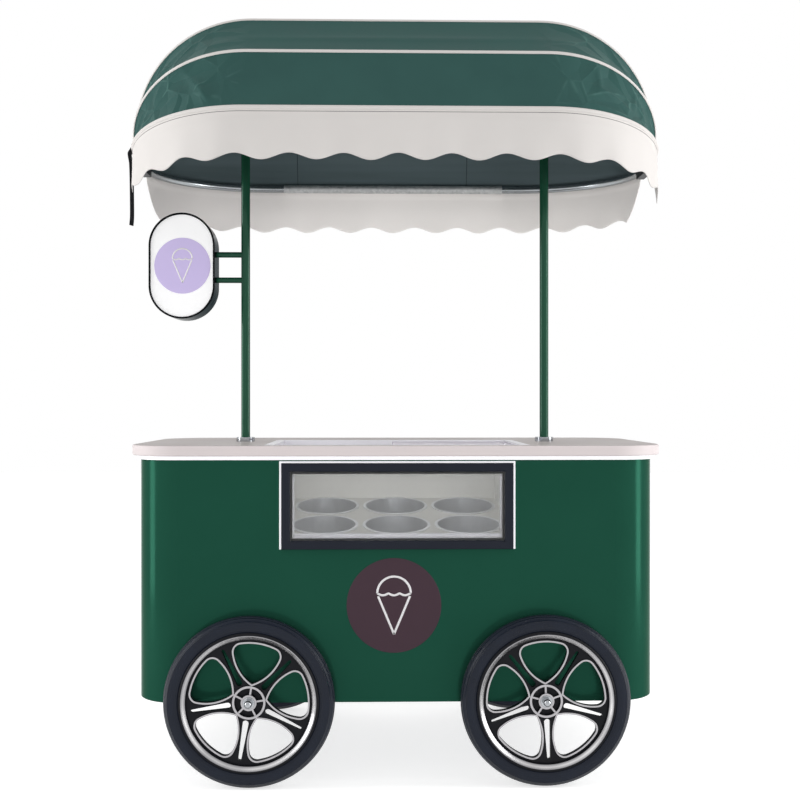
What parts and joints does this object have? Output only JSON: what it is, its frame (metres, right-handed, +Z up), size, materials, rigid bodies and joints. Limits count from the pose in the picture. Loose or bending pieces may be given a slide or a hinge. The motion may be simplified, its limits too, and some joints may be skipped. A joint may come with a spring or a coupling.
{
  "type": "ice cream cart",
  "caption": "Push cart with a display freezer behind a window, sliding glass lids, spoked wheels, a hooped canopy with scalloped edges and a hanging light-box sign.",
  "frame": {"origin": "on the ground under the middle of the cart", "axes": "+X along the counter to the customer's right, -Y towards the customer, +Z up"},
  "size_m": [1.6172, 0.908, 2.2665],
  "materials": {
    "green_paint": "gloss powder coat",
    "white_slab": "polished acrylic solid surface",
    "light_diffuser": "milky light diffuser",
    "black_frame": "satin black",
    "clear_glass": "polished float glass",
    "aluminium_trim": "satin extrusion",
    "freezer_foam": "plain foam panel",
    "freezer_white": "white enamel",
    "tub_steel": "spun stainless steel",
    "galvanised": "galvanised sheet",
    "hoop_steel": "galvanised tube, worn bright",
    "chassis_black": "black paint",
    "axle_steel": "turned steel",
    "bright_chrome": "polished plate",
    "sign_acrylic": "opal acrylic",
    "copper_pipe": "drawn copper",
    "fan_aluminium": "pressed sheet",
    "black_plastic": "moulded",
    "canopy_cloth": "woven coated cloth",
    "valance_cloth": "woven coated cloth",
    "webbing": "woven webbing",
    "wheel_casting": "cast, painted black with machined edges",
    "tyre_rubber": "moulded rubber"
  },
  "bodies": {
    "cart": {"body_shell": "green_paint", "left_post": "green_paint", "right_post": "green_paint", "side_vent": "green_paint", "counter_top": "white_slab", "light_strips": "light_diffuser", "window_frame": "black_frame", "window_panes": "clear_glass", "window_spacer": "aluminium_trim", "lid_track": "aluminium_trim", "condenser": "aluminium_trim", "freezer_cabinet": "freezer_foam", "freezer_liner": "freezer_white", "tub_plate": "freezer_white", "floor_panel": "galvanised", "partitions": "galvanised", "fan_shroud": "galvanised", "ridge_hoop": "hoop_steel", "front_hoop": "hoop_steel", "rear_hoop": "hoop_steel", "rib_hoops": "hoop_steel", "chassis_frame": "chassis_black", "axle_blocks": "chassis_black", "compressor": "chassis_black", "left_axle": "axle_steel", "right_axle": "axle_steel", "wheel_bearings": "axle_steel", "door_hinges": "axle_steel", "axle_nuts": "bright_chrome", "post_collars": "bright_chrome", "sign_band": "bright_chrome", "sign_faces": "sign_acrylic", "refrigerant_pipes": "copper_pipe", "canopy_hubs": "black_plastic", "power_inlet": "black_plastic", "canopy_cover": "canopy_cloth", "front_valance": "valance_cloth", "rear_valance": "valance_cloth", "tie_strap": "webbing"},
    "front_left_wheel": {"front_left_wheel": "wheel_casting", "front_left_tyre": "tyre_rubber"},
    "front_right_wheel": {"front_right_wheel": "wheel_casting", "front_right_tyre": "tyre_rubber"},
    "rear_left_wheel": {"rear_left_wheel": "wheel_casting", "rear_left_tyre": "tyre_rubber"},
    "rear_right_wheel": {"rear_right_wheel": "wheel_casting", "rear_right_tyre": "tyre_rubber"},
    "left_lid": {"left_lid": "clear_glass"},
    "right_lid": {"right_lid": "clear_glass"},
    "left_door": {"left_door": "green_paint", "left_door_handle": "bright_chrome"},
    "right_door": {"right_door": "green_paint", "right_door_handle": "bright_chrome"},
    "tub_1": {"tub_1": "tub_steel"},
    "tub_2": {"tub_2": "tub_steel"},
    "tub_3": {"tub_3": "tub_steel"},
    "tub_4": {"tub_4": "tub_steel"},
    "tub_5": {"tub_5": "tub_steel"},
    "tub_6": {"tub_6": "tub_steel"},
    "fan": {"fan_blade": "fan_aluminium"}
  },
  "joints": [
    {"name": "front_left_spin", "type": "hinge", "parent": "cart", "child": "front_left_wheel", "pos_m": [-0.416, -0.41, 0.24], "axis": [0, 1, 0], "continuous": true},
    {"name": "front_right_spin", "type": "hinge", "parent": "cart", "child": "front_right_wheel", "pos_m": [0.416, -0.41, 0.24], "axis": [0, 1, 0], "continuous": true},
    {"name": "rear_left_spin", "type": "hinge", "parent": "cart", "child": "rear_left_wheel", "pos_m": [-0.416, 0.41, 0.24], "axis": [0, 1, 0], "continuous": true},
    {"name": "rear_right_spin", "type": "hinge", "parent": "cart", "child": "rear_right_wheel", "pos_m": [0.416, 0.41, 0.24], "axis": [0, 1, 0], "continuous": true},
    {"name": "left_lid_slide", "type": "slide", "parent": "cart", "child": "left_lid", "axis": [1, 0, 0], "range_m": [0, 0.349]},
    {"name": "right_lid_slide", "type": "slide", "parent": "cart", "child": "right_lid", "axis": [-1, 0, 0], "range_m": [0, 0.349]},
    {"name": "left_door_hinge", "type": "hinge", "parent": "cart", "child": "left_door", "pos_m": [-0.371, 0.3665, 0.68], "axis": [0, 0, 1], "range_deg": [0, 110]},
    {"name": "right_door_hinge", "type": "hinge", "parent": "cart", "child": "right_door", "pos_m": [0.371, 0.3665, 0.68], "axis": [0, 0, -1], "range_deg": [0, 110]},
    {"name": "tub_1_lift", "type": "slide", "parent": "cart", "child": "tub_1", "axis": [0, -0.1736, 0.9848], "range_m": [0, 0.09]},
    {"name": "tub_2_lift", "type": "slide", "parent": "cart", "child": "tub_2", "axis": [0, -0.1736, 0.9848], "range_m": [0, 0.09]},
    {"name": "tub_3_lift", "type": "slide", "parent": "cart", "child": "tub_3", "axis": [0, -0.1736, 0.9848], "range_m": [0, 0.09]},
    {"name": "tub_4_lift", "type": "slide", "parent": "cart", "child": "tub_4", "axis": [0, -0.1736, 0.9848], "range_m": [0, 0.09]},
    {"name": "tub_5_lift", "type": "slide", "parent": "cart", "child": "tub_5", "axis": [0, -0.1736, 0.9848], "range_m": [0, 0.09]},
    {"name": "tub_6_lift", "type": "slide", "parent": "cart", "child": "tub_6", "axis": [0, -0.1736, 0.9848], "range_m": [0, 0.09]},
    {"name": "fan_spin", "type": "hinge", "parent": "cart", "child": "fan", "pos_m": [0.674, 0, 0.425], "axis": [1, 0, 0], "continuous": true}
  ]
}
